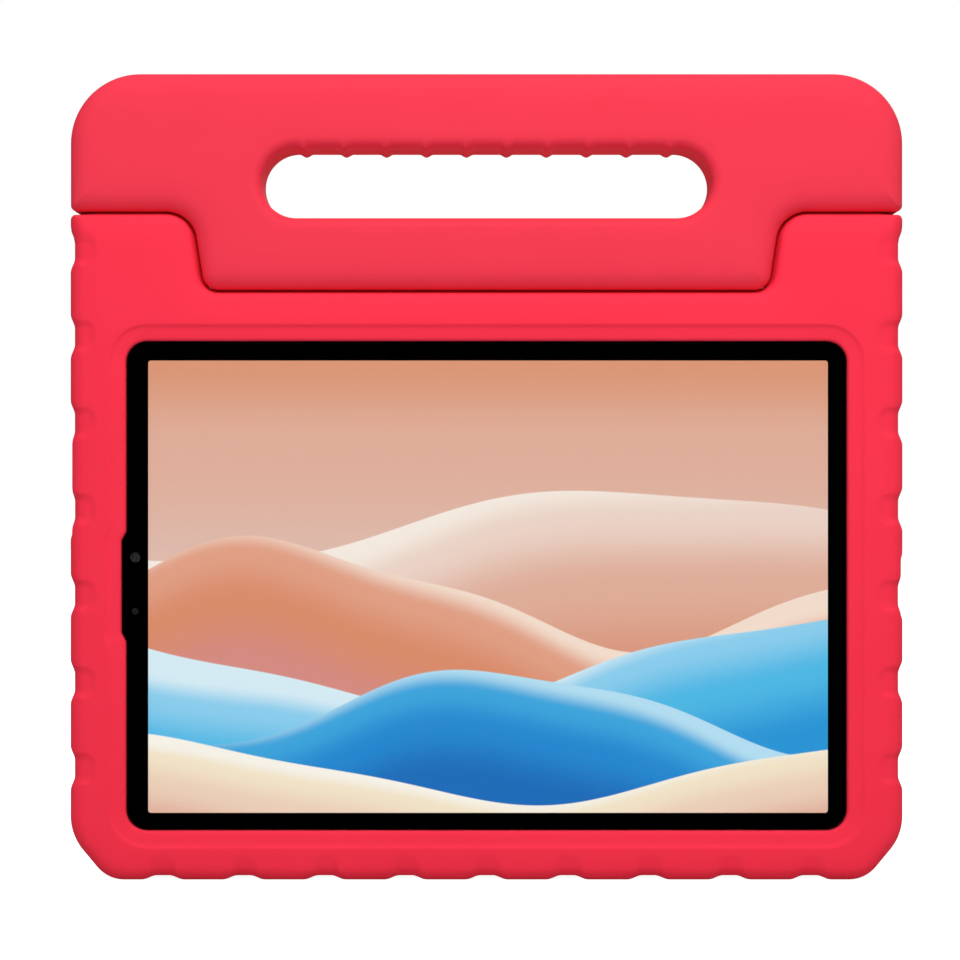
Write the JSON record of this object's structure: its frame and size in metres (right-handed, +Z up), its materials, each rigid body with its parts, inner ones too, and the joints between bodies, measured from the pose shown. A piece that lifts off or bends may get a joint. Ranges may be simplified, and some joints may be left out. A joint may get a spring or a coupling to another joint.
{
  "type": "kids tablet case",
  "caption": "Moulded foam tablet case that stands on its edge, with a ridged carry handle that folds back, holding a landscape tablet.",
  "frame": {"origin": "middle of the underside, on the surface that the case stands on, halfway through its depth", "axes": "+X to the right as the screen is seen, +Y from the screen towards the back, +Z up towards the handle"},
  "size_m": [0.2798, 0.028, 0.271],
  "materials": {
    "case_foam": "matt moulded closed-cell foam",
    "handle_foam": "matt moulded closed-cell foam",
    "pin_steel": "ground",
    "hinge_nylon": "moulded",
    "tablet_aluminium": "blasted and anodised",
    "cover_glass": "polished",
    "screen_black": "printed black",
    "screen_picture": "lit picture",
    "battery_pouch": "foil pouch",
    "board_laminate": "solder mask",
    "camera_black": "moulded",
    "camera_glass": "polished"
  },
  "bodies": {
    "case": {"case_body": "case_foam", "hinge_pin_left": "pin_steel", "hinge_pin_right": "pin_steel", "hinge_socket_left": "hinge_nylon", "hinge_socket_right": "hinge_nylon", "tablet_housing": "tablet_aluminium", "cover_glass": "cover_glass", "screen_gasket": "screen_black", "display_panel": "screen_picture", "front_camera": "camera_black", "light_sensor": "camera_black", "rear_camera": "camera_black", "rear_camera_ring": "tablet_aluminium", "rear_camera_lens": "camera_glass", "battery_left": "battery_pouch", "battery_right": "battery_pouch", "main_board": "board_laminate", "charging_port": "pin_steel", "speaker_left_top": "screen_black", "speaker_left_bottom": "screen_black", "speaker_right_top": "screen_black", "speaker_right_bottom": "screen_black"},
    "handle": {"handle": "handle_foam", "hinge_bush_left": "hinge_nylon", "hinge_bush_right": "hinge_nylon"},
    "power_key": {"power_key": "tablet_aluminium"},
    "volume_key": {"volume_key": "tablet_aluminium"}
  },
  "joints": [
    {"name": "handle_fold", "type": "hinge", "parent": "case", "child": "handle", "pos_m": [0, 0.007, 0.2114], "axis": [-1, 0, 0], "range_deg": [0, 120]},
    {"name": "power_key_press", "type": "slide", "parent": "case", "child": "power_key", "axis": [1, 0, 0], "range_m": [0, 0.0004], "stiffness_N_per_m": 2500, "springref_m": -0.0004},
    {"name": "volume_key_press", "type": "slide", "parent": "case", "child": "volume_key", "axis": [1, 0, 0], "range_m": [0, 0.0004], "stiffness_N_per_m": 2500, "springref_m": -0.0004}
  ]
}
